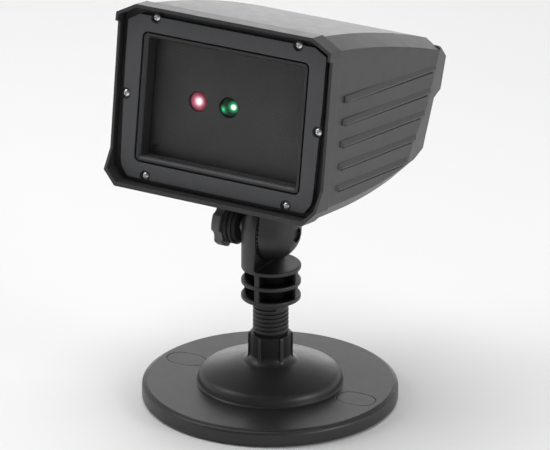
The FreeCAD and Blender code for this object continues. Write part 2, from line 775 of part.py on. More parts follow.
def side_region(label, points):
    """Side outline (y, z) extended across the full width."""
    return extrude(label, "YZ", [points], -80.0, 80.0)


def trim(label, shift):
    """Region ahead of the shell's rear edge, with that edge moved back by shift."""
    return side_region(label, [(-90.0, 10.0), (24.0 + shift, 10.0)]
                       + [(y + shift, z) for y, z in reversed(REAR)]
                       + [(68.4 + shift, 150.0), (-90.0, 150.0)])


def above_parting(label):
    return side_region(label, PARTING + [(80.0, 150.0), (-84.0, 150.0)])


def rear_y(z):
    """The y of the shell's rear edge at height z."""
    for (upper_y, upper_z), (lower_y, lower_z) in zip(REAR[:-1], REAR[1:]):
        if lower_z <= z <= upper_z:
            return lower_y + (upper_y - lower_y) * (z - lower_z) / (upper_z - lower_z)


def rear_post_end(z):
    """The y where a rear post of the shell meets the cover's pillar."""
    return rear_y(z) - (1.5 if z > 80 else 3.0)


def front_forms():
    """The shell with its front lip: a deep frame round the bezel."""
    outer = lofted("form_outer", [inset_section(station, 0.0) for station in STATIONS])
    shell = cut("shell_form", common("shell_outer", outer, trim("trim_rear", 0.0)),
                [inner_form("form_inner", WALL)])
    lip_ring = extrude("lip_ring", "XZ", [LIP, POCKET], -80.0, LEDGE_FRONT)
    lip_cut = side_region("lip_front", LIP_FRONT)
    pocket_room = extrude("pocket_room", "XZ", [POCKET], -86.0, LEDGE_FRONT)
    opening = rounded_rectangle(56.4, 41.2, 122.4, 2.0)
    ledge = extrude("ledge_ring", "XZ", [LIP, opening], LEDGE_FRONT, LEDGE_FRONT + 3.2)
    return cut("front_forms", fuse("front_joined", [shell, lip_ring, ledge]),
               [lip_cut, pocket_room])


def bezel_bosses(first, last):
    """Bosses for bezel screws first to last - 1, and the tools for their pilot holes and
    the clear room ahead of the ledge."""
    spots = BEZEL_SCREWS[first:last]
    bosses = cylinders("bezel_boss", 3.1, 6.8, at_y(spots, LEDGE_FRONT + 1.0), PLUS_Y, first)
    tools = cylinders("bezel_pilot", pilot_radius, 7.9,
                      at_y(spots, LEDGE_FRONT - 1.0), PLUS_Y, first)
    tools += cylinders("bezel_boss_room", 2.6, 20.0,
                       at_y(spots, LEDGE_FRONT - 20.0), PLUS_Y, first)
    return bosses, tools


def louvres():
    """Ribs along both side walls, and the groove under each rib."""
    ribs, grooves = [], []
    for k, (z, start_y) in enumerate(LOUVRES):
        x = 66.45 + (z - 39.5) * 0.021      # side wall at this height
        for side in (-1, 1):
            turn = Placement(Vector(0, 0, 0), Rotation(PLUS_Z, side * LOUVRE_TAPER))
            tag = "%d_%d" % (k, side + 1)
            run_points = [(side * (x + out), z + up) for out, up in (
                (-1.2, 0.0), (1.3, 0.1), (1.4, 1.1), (0.1, 3.7), (-1.2, 4.0))]
            run = extrude("louvre_run_" + tag, "XZ", [run_points], start_y - 1.0, 90.0, turn)
            end_points = [(side * (x + out), y) for out, y in (
                (-1.6, start_y - 0.8), (0.1, start_y - 0.4), (1.8, start_y + 2.6),
                (1.8, 95.0), (-1.6, 95.0))]
            end = extrude("louvre_end_" + tag, "XY", [end_points], z - 0.5, z + 4.4, turn)
            ribs.append(common("louvre_" + tag, run, end))
            groove_points = [(side * (x + out), z + up) for out, up in (
                (-0.85, -0.2), (3.0, -0.05), (3.0, -1.25), (-0.85, -1.05))]
            grooves.append(extrude("louvre_groove_" + tag, "XZ", [groove_points],
                                   start_y + 2.4, 95.0, turn))
    return (common("louvres", fuse("louvre_all", ribs), trim("trim_ribs", -1.2)),
            common("louvre_grooves", fuse("louvre_groove_all", grooves),
                   trim("trim_grooves", -3.4)))


def lower_rear_posts():
    """Rear posts joined to the side walls by webs, and their pilot holes."""
    solids, pilots = [], []
    for i, (x, z) in enumerate(REAR_LOWER):
        y = rear_post_end(z)
        wall_x = 64.6 if x > 0 else -64.6
        solids.append(cylinder("rear_post_low_%d" % i, 3.6, 20.0, (x, y - 20.0, z), PLUS_Y))
        solids.append(box("rear_web_low_%d" % i, sorted((x, wall_x)),
                          (y - 20.0, y - 1.0), (z - 1.2, z + 1.2)))
        pilots.append(cylinder("rear_pilot_low_%d" % i, pilot_radius, 14.0,
                               (x, y - 13.0, z), PLUS_Y))
    return solids, pilots


def upper_rear_posts():
    """Rear posts hung from the roof by webs, and their pilot holes."""
    solids, webs, pilots = [], [], []
    for i, (x, z) in enumerate(REAR_UPPER):
        y = rear_post_end(z)
        solids.append(cylinder("rear_post_up_%d" % i, 3.6, 20.0, (x, y - 20.0, z), PLUS_Y))
        webs.append(box("rear_web_up_%d" % i, (x - 1.2, x + 1.2),
                        (y - 20.0, y - 1.0), (z, 122.0)))
        pilots.append(cylinder("rear_pilot_up_%d" % i, pilot_radius, 14.0,
                               (x, y - 13.0, z), PLUS_Y))
    solids.append(common("rear_webs_up", fuse("rear_web_pair", webs),
                         inner_form("rear_web_limit", 0.8)))
    return solids, pilots


def neck_floor():
    """Pad on the floor over the neck, and the holes through it."""
    pad_disc = cylinder("neck_pad_disc", 21.5, 5.0, (0, 0, neck_top))
    pad_hole = cylinder("neck_pad_hole", WIRE_HOLE_RADIUS, 9.0,
                        (WIRE_HOLE_X, 0, neck_top - 1.0))
    holes = cylinders("neck_screw_hole", 1.3, 12.0, at_z(NECK_SCREWS, 28.0))
    holes += cylinders("neck_screw_seat", 2.6, 12.0, at_z(NECK_SCREWS, 35.0))
    holes.append(cylinder("neck_wire_hole", WIRE_HOLE_RADIUS, 12.0, (WIRE_HOLE_X, 0, 28.0)))
    return cut("neck_pad", pad_disc, [pad_hole]), holes


def board_standoffs():
    """Standoffs rising from the floor, which is higher at the rear, and their pilots."""
    solids = []
    for i, (x, y) in enumerate(BOARD_SCREWS):
        foot = 31.0 if y < 0 else 36.5
        solids.append(cylinder("board_stand_%d" % i, 3.2, BOARD_Z - foot, (x, y, foot)))
    return solids, cylinders("board_pilot", pilot_radius, 7.0,
                             at_z(BOARD_SCREWS, BOARD_Z - 6.0))


def housing_body(forms):
    lower_half = cut("lower_half", forms, [above_parting("above_parting_a")])
    ribs, grooves = louvres()
    floor_pad, floor_holes = neck_floor()
    bosses, boss_tools = bezel_bosses(2, 6)
    boss_start = LEDGE_FRONT + 2.0
    panel_bosses = cylinders("panel_boss", 3.0, PANEL_FRONT - boss_start,
                             at_y(PANEL_SCREWS, boss_start), PLUS_Y)
    panel_pilots = cylinders("panel_pilot", pilot_radius, 6.0,
                             at_y(PANEL_SCREWS, PANEL_FRONT - 5.0), PLUS_Y)
    rear_posts, rear_pilots = lower_rear_posts()
    standoffs, stand_pilots = board_standoffs()
    solid = fuse("housing_solid", [lower_half, ribs, floor_pad] + bosses + panel_bosses
                 + rear_posts + standoffs)
    tools = [grooves] + floor_holes + stand_pilots + boss_tools + panel_pilots + rear_pilots
    return cut("housing_body", solid, tools, HEAD)


def top_cover(forms):
    upper_half = common("upper_half", forms, above_parting("above_parting_b"))
    bosses, boss_tools = bezel_bosses(0, 2)
    rear_posts, rear_pilots = upper_rear_posts()
    return cut("top_cover", fuse("top_solid", [upper_half] + bosses + rear_posts),
               boss_tools + rear_pilots, HEAD)


head_forms = front_forms()
keep(housing_body(head_forms))
keep(top_cover(head_forms))

# ================================================================ HEAD: FRONT
# chamfered bezel and gasket outlines, seen from the front (x, z)
BEZEL = mirrored([(-56.2, bezel_upper), (-bezel_half, bezel_upper - 4.3), (-bezel_half, 97.0),
                  (-62.2, 43.0), (-61.2, 39.2), (-57.2, bezel_bottom)])
BEZEL_GASKET = mirrored([(-55.0, 127.4), (-62.6, 122.8), (-62.6, 97.0),
                         (-61.2, 44.0), (-60.0, 40.0), (-56.6, 35.6)])

RIM_Y = -(num(bezel_front) - 0.35)      # front of the window frame
WELL_END = -(num(panel_front) + 3.0)    # rear of the window frame
GLASS_FRONT = WELL_END + GASKET


def window_outline(inset, corner):
    """Rounded window outline, drawn in by inset."""
    return rounded_rectangle(window_half - inset, window_bottom + inset,
                             window_upper - inset, corner)


def front_bezel():
    bezel = new_body("front_bezel", HEAD)
    plate = draw(bezel, "XZ", bezel_front - bezel_thick, BEZEL, window_outline(-1.15, 3.6))
    pad(bezel, plate, bezel_thick)
    # screw head notches, then clearance holes
    for radius, depth in ((3.3, 2.1), (1.3, 6.0)):
        holes = draw(bezel, "XZ", bezel_front + 0.5,
                     *[(x, z, radius) for x, z in BEZEL_SCREWS])
        pad(bezel, holes, depth, cut=True)
    return bezel


def bezel_gasket():
    ring = extrude("bezel_gasket_ring", "XZ",
                   [BEZEL_GASKET, rounded_rectangle(56.6, 41.0, 122.6, 2.0)],
                   -(bezel_front - bezel_thick), -(bezel_front - bezel_thick - gasket_thick))
    holes = cylinders("gasket_hole", 2.2, 6.0, at_y(BEZEL_SCREWS, BEZEL_BACK - 2.0), PLUS_Y)
    return cut("bezel_gasket", ring, holes, HEAD)


def window_frame():
    """Bevelled rim and tapering well, with a flange behind the bezel."""
    well_rear = rounded_rectangle(window_half - 0.6, window_bottom + 0.5,
                                  window_upper - 0.5, 2.6)
    outer = lofted("well_outer", [(RIM_Y, window_outline(0.0, 2.6)), (WELL_END, well_rear)])
    bevel = lofted("well_bevel", [(RIM_Y - 0.1, window_outline(1.1, 1.8)),
                                  (RIM_Y + 1.3, window_outline(2.3, 1.4))])
    inner = lofted("well_inner", [(RIM_Y + 1.2, window_outline(2.3, 1.4)),
                                  (WELL_END + 0.5, window_outline(3.1, 1.2))])
    flange = extrude("well_flange", "XZ", [window_outline(-2.6, 2.0)],
                     BEZEL_BACK, BEZEL_BACK + 1.8)
    return cut("window_frame", fuse("well_solid", [outer, flange]), [bevel, inner], HEAD)


keep(front_bezel())
keep(bezel_gasket())
keep(head_screws("bezel_screws", "bezel_screw",
                 at_y(BEZEL_SCREWS, -(num(bezel_front) - 1.6)), MINUS_Y, 7.0))
keep(window_frame())
keep(extrude("glass_gasket", "XZ", [window_outline(0.8, 2.4), window_outline(3.0, 1.3)],
             WELL_END, GLASS_FRONT, HEAD))
keep(extrude("window_glass", "XZ", [window_outline(0.8, 2.4)],
             GLASS_FRONT, GLASS_FRONT + 2.0, HEAD))

# ================================================================ HEAD: PANEL AND LASERS
SENSOR_X, SENSOR_Z = -47.6, 51.2
LASER_Z = num(laser_z)
COLLAR_END = PANEL_BACK + 2.2
LASER_FRONT = COLLAR_END + 1.55
# bracket body and its ears, each with one screw
BRACKET_X = (num(red_x) - 9.5, num(green_x) + 9.5)
EAR_WIDTH = 8.0
EAR_THICK = 3.0
EAR_SCREWS = [(BRACKET_X[0] - 4.5, LASER_Z), (BRACKET_X[1] + 4.5, LASER_Z)]
FIN_PITCH = 4.2
FIN_THICK = 1.6

PANEL = mirrored([(-55.0, 42.0), (-61.0, 50.0), (-61.0, 112.0), (-55.0, 122.0)])

# half sections of revolution (radius, distance to the rear)
LENS_SECTION = [(0, 0), (0, 1.5), (5.9, 1.5), (5.9, 0.5), (4.6, 0.5), (4.2, 0.0)]
LASER_SECTION = [
    (2.2, 0), (2.2, 9.0), (0, 9.0), (0, 31.0), (3.2, 31.0), (3.2, 29.0),
    (laser_radius - 0.03, 29.0), (laser_radius - 0.03, 26.0), (5.5, 25.6), (5.5, 24.6),
    (laser_radius - 0.03, 24.2), (laser_radius - 0.03, 0.6), (laser_radius - 0.5, 0)]


def facing_rear(x, y, z):
    """Placement in the head that turns a body's own z to the rear."""
    return HEAD.multiply(Placement(Vector(num(x), y, num(z)), Rotation(PLUS_X, -90)))


def turned_to_rear(label, section, x, y):
    """Revolved body on a laser axis."""
    body = new_body(label, facing_rear(x, y, laser_z))
    revolve(body, section)
    return body


def inner_panel():
    """Panel with two aperture collars, ear screw bosses and the sensor hole."""
    holes = [(red_x, laser_z, laser_radius), (green_x, laser_z, laser_radius),
             (SENSOR_X, SENSOR_Z, 2.6)] + [(x, z, 1.3) for x, z in PANEL_SCREWS]
    plate = extrude("panel_plate", "XZ", [PANEL] + holes, PANEL_FRONT, PANEL_BACK)
    collars = [extrude("panel_collar_%d" % i, "XZ",
                       [(x, laser_z, 7.4), (x, laser_z, laser_radius)],
                       PANEL_BACK - 0.5, COLLAR_END) for i, x in enumerate((red_x, green_x))]
    bosses = cylinders("panel_ear_boss", 3.0, 2.7, at_y(EAR_SCREWS, PANEL_BACK - 0.4), PLUS_Y)
    pilots = cylinders("panel_ear_pilot", pilot_radius, 5.0,
                       at_y(EAR_SCREWS, PANEL_BACK + 0.1), PLUS_Y)
    return cut("inner_panel", fuse("panel_solid", [plate] + collars + bosses), pilots, HEAD)


def light_sensor():
    disc = cylinder("sensor_disc", 2.55, 2.0, (SENSOR_X, PANEL_FRONT + 0.1, SENSOR_Z), PLUS_Y)
    leads = [cylinder("sensor_lead_" + letter, 0.3, 8.0,
                      (SENSOR_X + dx, PANEL_FRONT + 2.0, SENSOR_Z), PLUS_Y)
             for letter, dx in (("a", -1.2), ("b", 1.2))]
    return fuse("light_sensor", [disc] + leads, HEAD)


def laser_bracket():
    """Clamp block with cooling fins on top and a screw ear on each side."""
    bracket = new_body("laser_bracket", HEAD)
    left, right = BRACKET_X
    fin_root, fin_tip = LASER_Z + 8.5, LASER_Z + 13.0
    fins = []
    x = right
    while x > left + 1.0:
        fins += [(x, fin_tip), (x - FIN_THICK, fin_tip),
                 (x - FIN_THICK, fin_root), (x - FIN_PITCH, fin_root)]
        x -= FIN_PITCH
    # drop the points that fall past the left face
    fins = [point for point in fins if point[0] > left + 0.2]
    block = [(left, LASER_Z - 8.5), (right, LASER_Z - 8.5)] + fins + [(left, fin_root)]
    bore = laser_radius + 0.03
    block_sketch = draw(bracket, "XZ", -(COLLAR_END + 24.0), block,
                        (red_x, laser_z, bore), (green_x, laser_z, bore))
    pad(bracket, block_sketch, 23.5)
    ears = [rectangle(x, x + EAR_WIDTH, LASER_Z - 6.0, LASER_Z + 6.0)
            for x in (left - EAR_WIDTH, right)]
    pad(bracket, draw(bracket, "XZ", -(COLLAR_END + EAR_THICK), *ears), 2.9)
    holes = draw(bracket, "XZ", -(COLLAR_END + 4.0), *[(x, z, 1.3) for x, z in EAR_SCREWS])
    pad(bracket, holes, 6.0, reverse=True, cut=True)
    return bracket


keep(inner_panel())
keep(head_screws("panel_screws", "panel_screw", at_y(PANEL_SCREWS, PANEL_BACK), PLUS_Y, 5.6))
keep(light_sensor())
for colour, axis_x in (("red", red_x), ("green", green_x)):
    keep(turned_to_rear(colour + "_lens", LENS_SECTION, axis_x, COLLAR_END + 0.02))
    keep(turned_to_rear(colour + "_laser", LASER_SECTION, axis_x, LASER_FRONT))
keep(laser_bracket())
keep(head_screws("bracket_screws", "bracket_screw",
                 at_y(EAR_SCREWS, COLLAR_END + EAR_THICK), PLUS_Y, 4.9))

# ================================================================ HEAD: CIRCUIT BOARD
BOARD_TOP = BOARD_Z + 1.6
# x, y, radius, height
CAPACITORS = [(-20.0, 10.0, 4.0, 11.0), (-10.0, 12.0, 4.0, 11.0), (12.0, -30.0, 3.15, 7.0)]
# x, y, width, length, height
CHIPS = [(-12.0, -18.0, 10.0, 6.0, 1.6), (14.0, 2.0, 5.0, 6.0, 1.6),
         (14.0, 16.0, 9.0, 9.0, 4.5)]
TERMINAL_X = 25.0
TERMINAL_HOLES_Y = (-29.5, -25.5, -21.5)


def board_capacitors():
    return group("board_capacitors", [
        cylinder("capacitor_%d" % i, radius, height, (x, y, BOARD_TOP))
        for i, (x, y, radius, height) in enumerate(CAPACITORS)], HEAD)


def board_chips():
    return group("board_chips", [
        box("chip_%d" % i, (x - width / 2.0, x + width / 2.0),
            (y - length / 2.0, y + length / 2.0), (BOARD_TOP, BOARD_TOP + height))
        for i, (x, y, width, length, height) in enumerate(CHIPS)], HEAD)


def board_terminal():
    block = box("terminal_body", (20.0, 30.0), (-33.0, -18.0), (BOARD_TOP, BOARD_TOP + 8.0))
    holes = cylinders("terminal_hole", 1.6, 3.0,
                      [(TERMINAL_X, y, BOARD_TOP + 6.0) for y in TERMINAL_HOLES_Y])
    return cut("board_terminal", block, holes, HEAD)


keep(extrude("circuit_board", "XY",
             [rectangle(-36.0, 36.0, -45.0, 25.0)] + [(x, y, 1.3) for x, y in BOARD_SCREWS],
             BOARD_Z, BOARD_TOP, HEAD))
keep(head_screws("board_screws", "board_screw", at_z(BOARD_SCREWS, BOARD_TOP), PLUS_Z, 7.0))
keep(board_capacitors())
keep(board_chips())
keep(board_terminal())
# these come down through the floor
keep(head_screws("neck_screws", "neck_screw", at_z(NECK_SCREWS, 35.0), PLUS_Z, 12.5))

# ================================================================ HEAD: REAR COVER
INLET_X, INLET_Z = -30.0, 62.5

# front edge of the rear gasket and, behind it, of the rear cover, bottom up (y, z)
SEAM = [(29.8, 34.0), (30.0, 42.4), (38.6, 53.6), (54.0, 77.0), (62.4, 107.6), (64.2, 110.2)]
COVER_EDGE = [(y + GASKET, z) for y, z in SEAM]
# back of the cover, top down (y, z)
COVER_BACK = [(66.6, 109.6), (82.0, 101.0), (81.5, 81.1),
              (70.4, 78.0), (63.9, 48.7), (44.0, 44.0)]
# hollow of the cover (y, z): the back top down, then the open front bottom up
COVER_HOLLOW = [(66.4, 107.3), (79.7, 99.6), (79.4, 82.8), (68.4, 79.6), (62.0, 50.8),
                (46.4, 46.4), (29.4, 45.9), (33.6, 53.6), (49.0, 77.0), (57.4, 106.2)]
COVER_HALF = 66.6
COVER_SIDE = 65.8           # x of the side faces where they cross the point y 49, z 77
COVER_SIDE_ANGLE = 11.0     # draw-in of the side faces towards the rear
COVER_SCREWS = REAR_UPPER + REAR_LOWER


def cover_seat(z):
    """The y of a cover screw's head seat."""
    return rear_y(z) + GASKET + 6.0


def side_slab(label, side, face_x):
    """Block outside a side face of the cover."""
    slope = math.degrees(math.atan2(REAR[2][0] - REAR[4][0], REAR[2][1] - REAR[4][1]))
    slab = box(label, (0.0, 30.0), (-40.0, 80.0), (-90.0, 90.0))
    turn = Rotation(PLUS_X, -slope).multiply(Rotation(PLUS_Z, side * COVER_SIDE_ANGLE))
    corner = Vector(0 if side > 0 else -30.0, -40.0, -90.0)
    slab.Placement = Placement(Vector(side * face_x, 49.0, 77.0), turn).multiply(
        Placement(corner, Rotation()))
    return slab


def rear_cover():
    outer = extrude("rear_cover_outer", "YZ", [COVER_BACK + COVER_EDGE],
                    -COVER_HALF, COVER_HALF)
    hollow = extrude("rear_cover_inner", "YZ", [COVER_HOLLOW], -64.0, 64.0)
    side_faces = [side_slab("rear_face_%d" % (side + 1), side, COVER_SIDE)
                  for side in (-1, 1)]
    side_rooms = [side_slab("rear_room_%d" % (side + 1), side, COVER_SIDE - 2.3)
                  for side in (-1, 1)]
    within = common("rear_cover_within", outer, inner_form("rear_cover_limit", 0.3))
    form = cut("rear_cover_form", within, side_faces)
    room = cut("rear_cover_room", hollow, side_rooms)

    pillars, holes = [], []
    for i, (x, z) in enumerate(COVER_SCREWS):
        start = rear_post_end(z)
        end = 82.6 if z > 80 else 67.0
        pillars.append(cylinder("rear_pillar_%d" % i, 4.2, end - start, (x, start, z), PLUS_Y))
        holes.append(cylinder("rear_clear_%d" % i, 1.3, 40.0, (x, start - 5.0, z), PLUS_Y))
        holes.append(cylinder("rear_sink_%d" % i, 2.5, 40.0, (x, cover_seat(z), z), PLUS_Y))
    pillar_room = extrude("rear_pillar_room", "YZ",
                          [COVER_BACK + [(y - 6.0, z) for y, z in COVER_EDGE]],
                          -COVER_HALF, COVER_HALF)
    trimmed_pillars = common("rear_pillars", fuse("rear_pillar_all", pillars), pillar_room)

    boss_disc = cylinder("inlet_boss_disc", 10.5, 14.0, (INLET_X, 56.0, INLET_Z), PLUS_Y)
    boss_room = extrude("inlet_boss_room", "YZ", [rectangle(62.0, 70.0, 40.0, 80.0)],
                        -60.0, 60.0)
    inlet_boss = common("inlet_boss", boss_disc, boss_room)
    inlet_hole = cylinder("inlet_hole", 5.6, 30.0, (INLET_X, 50.0, INLET_Z), PLUS_Y)

    shell = cut("rear_cover_shell", form, [room])
    return cut("rear_cover", fuse("rear_cover_solid", [shell, trimmed_pillars, inlet_boss]),
               holes + [inlet_hole], HEAD)


def rear_gasket():
    """Gasket between the rear edge of the shell and the rear cover."""
    band = extrude("rear_gasket_band", "YZ", [SEAM + COVER_EDGE[::-1]], -70.0, 70.0)
    front_limit = trim("gasket_front_limit", 0.04)
    form = common("rear_gasket_form", band, inner_form("gasket_outer", 0.5))
    return cut("rear_gasket", form, [inner_form("gasket_open", WALL + 0.9), front_limit], HEAD)


keep(rear_cover())
keep(head_screws("rear_cover_screws", "rear_screw",
                 [(x, cover_seat(z), z) for x, z in COVER_SCREWS], PLUS_Y, 15.0))
keep(rear_gasket())

# ================================================================ HEAD: POWER INLET
# half section of the socket (radius, distance to the rear of the flange's front face)
INLET_SECTION = [
    (0, -8.0), (0, -6.5), (2.75, -6.5), (2.75, 2.6), (6.6, 2.6), (7.4, 1.8), (7.4, 0.0),
    (5.5, 0.0), (5.5, -16.0), (4.6, -16.0), (4.6, -8.0)]


def power_inlet():
    inlet = new_body("power_inlet", facing_rear(INLET_X, 70.0, INLET_Z))
    revolve(inlet, INLET_SECTION)
    # centre pin
    pad(inlet, draw(inlet, "XY", -6.6, (0, 0, 1.0)), 8.0)
    return inlet


keep(power_inlet())
keep(cut("inlet_nut", hexagon("inlet_nut_hex", 8.6, 3.2, (INLET_X, 58.6, INLET_Z), PLUS_Y),
         [cylinder("inlet_nut_hole", 5.53, 6.0, (INLET_X, 57.0, INLET_Z), PLUS_Y)], HEAD))

# ================================================================ HEAD: WIRING
SUPPLY_RADIUS = 0.8
SIGNAL_RADIUS = 0.7

# wire courses (x, y, z) in the head frame, from the fitting to the circuit board
SUPPLY_A = [(INLET_X - 1.6, 53.9, INLET_Z), (INLET_X + 2.0, 46.0, INLET_Z - 2.0),
            (-8.0, 36.0, 60.0), (18.0, 30.0, 64.0), (26.0, 6.0, 63.0),
            (25.0, -12.0, 60.0), (TERMINAL_X, -21.5, 54.4)]
SUPPLY_B = [(INLET_X + 1.6, 53.9, INLET_Z), (INLET_X + 5.2, 46.0, INLET_Z - 0.5),
            (-6.0, 38.4, 62.6), (20.6, 32.0, 66.4), (28.6, 6.0, 66.0),
            (27.0, -14.0, 64.0), (TERMINAL_X, -25.5, 54.4)]
SENSOR = [(SENSOR_X, PANEL_FRONT + 10.2, SENSOR_Z), (-47.4, PANEL_FRONT + 16.0, 52.6),
          (-42.0, -36.0, 54.0), (-33.0, -32.0, 52.0),
          (-30.0, -30.0, BOARD_TOP + 3.2), (-30.0, -30.0, BOARD_TOP + 0.3)]


def wire(label, points, radius):
    """Round wire along a smooth curve through the points."""
    curve = Part.BSplineCurve()
    curve.interpolate([Vector(*point) for point in points])
    spine = Part.Wire([curve.toShape()])
    direction = curve.tangent(curve.FirstParameter)[0]
    profile = Part.Wire([Part.Circle(Vector(*points[0]), direction, radius).toShape()])
    made = add("Part::Feature", label)
    made.Shape = spine.makePipeShell([profile], True, True)
    return made


def laser_wires():
    start_y = LASER_FRONT + 31.1
    wires = []
    for letter, x, bend_x, board_x in (("a", num(red_x), -21.0, -22.0),
                                       ("b", num(green_x), -1.0, -2.0)):
        course = [(x, start_y, LASER_Z), (x, start_y + 7.0, LASER_Z - 2.0),
                  (bend_x, start_y + 6.0, 66.0), (board_x, 0.0, 54.0),
                  (board_x, -4.0, BOARD_TOP + 3.2), (board_x, -4.0, BOARD_TOP + 0.25)]
        wires.append(wire("laser_wire_" + letter, course, SIGNAL_RADIUS))
    return group("laser_wires", wires, HEAD)


keep(group("supply_wires", [wire("supply_wire_a", SUPPLY_A, SUPPLY_RADIUS),
                            wire("supply_wire_b", SUPPLY_B, SUPPLY_RADIUS)], HEAD))
keep(laser_wires())
keep(group("sensor_wires", [wire("sensor_wire_a", SENSOR, SIGNAL_RADIUS)], HEAD))

# ================================================================ CHECK AND WRITE
doc.recompute()
failures = []
for obj in doc.Objects:
    if "Invalid" in obj.State or "Error" in obj.State:
        failures.append("%s %s %s" % (obj.Label, obj.State, obj.getStatusString()))
for piece in kept:
    shape = piece.Shape
    if shape.isNull() or not shape.isValid() or shape.Volume <= 0:
        failures.append("%s shape" % piece.Label)
if failures:
    print("\n".join(failures))
    sys.exit("failed objects")
for piece in kept:
    piece.Shape.exportStep("parts/%s.step" % piece.Label)
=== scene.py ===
"""A lamp head with two lit lenses and a light sensor, tilting on a post over a base.

The pieces come from CAD. This script adds small meshes on the head, the materials and the studio.
World space is in metres, +Z up, with the front towards -Y. Sizes on the head are in millimetres
from its tilt axis, before the tilt.
"""
import json
import math

import bpy
from mathutils import Matrix, Vector


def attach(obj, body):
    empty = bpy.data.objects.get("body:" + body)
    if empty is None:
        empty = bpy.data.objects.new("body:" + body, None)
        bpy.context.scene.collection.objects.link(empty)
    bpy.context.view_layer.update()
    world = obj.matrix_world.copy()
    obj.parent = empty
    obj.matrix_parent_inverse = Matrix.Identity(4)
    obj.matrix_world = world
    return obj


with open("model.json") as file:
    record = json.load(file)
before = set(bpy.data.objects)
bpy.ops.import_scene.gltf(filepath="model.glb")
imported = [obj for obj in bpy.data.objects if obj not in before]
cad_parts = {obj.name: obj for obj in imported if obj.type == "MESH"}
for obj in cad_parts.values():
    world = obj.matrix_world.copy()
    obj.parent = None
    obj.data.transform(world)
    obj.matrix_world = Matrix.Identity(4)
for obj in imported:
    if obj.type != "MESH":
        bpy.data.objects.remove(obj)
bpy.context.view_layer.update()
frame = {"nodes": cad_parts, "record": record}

# The head leans back about the X axis through the pivot.
TILT = math.radians(8.0)
PIVOT = Vector((0.0, 0.0, 0.1045))
HEAD = Matrix.Translation(PIVOT) @ Matrix.Rotation(-TILT, 4, "X")

# Lenses on the face of the head, mm
RED_X, GREEN_X = -21.5, -1.6
LENS_Z = 82.2
LENS_GLOW_Y = -59.1    # depth of the point the glow spreads from
LENS_RIM_Y = -58.05
LENS_TOP_Y = -59.72    # frontmost point of the dome
LENS_RADIUS = 5.93
LENS_CHAMFER = 0.12
LENS_SKIRT = 0.9       # how far the side wall runs back from the rim

# Folded track on the face of the photocell, mm
TRACK_X, TRACK_Z = -47.6, 51.2
TRACK_RADIUS = 2.05    # circle that the rows end on
TRACK_HALF_HEIGHT = 1.45
TRACK_ROWS = 6
TRACK_WIDTH = 0.24
TRACK_FRONT_Y, TRACK_BACK_Y = -59.56, -59.50

# Saw-tooth strips along the lower window wall, mm
STRIP_DEPTH = 1.0
STRIP_RISE = 0.1       # how much higher the wall is at the strip's back
STRIP_SINK = 0.15      # how far the strip's edges sink into the wall
STRIP_SHOULDER = 0.08
TOOTH_PITCH = 1.55
TOOTH_HEIGHT = 0.62
# name, front y, wall z at the front, half length
STRIPS = [
    ("window_serration_front", -69.5, 47.15, 49.6),
    ("window_serration_back", -66.0, 47.50, 49.4),
]


def head(x, y, z):
    """World place of a point of the tilting head."""
    return HEAD @ Vector((x / 1000.0, y / 1000.0, z / 1000.0))


def compass(azimuth, elevation):
    """Unit vector, azimuth turned from the front (-Y) towards +X; angles in degrees."""
    az, el = math.radians(azimuth), math.radians(elevation)
    return Vector((math.sin(az) * math.cos(el), -math.cos(az) * math.cos(el), math.sin(el)))


# ------------------------------------------------------------------ node tools
MATS = {}


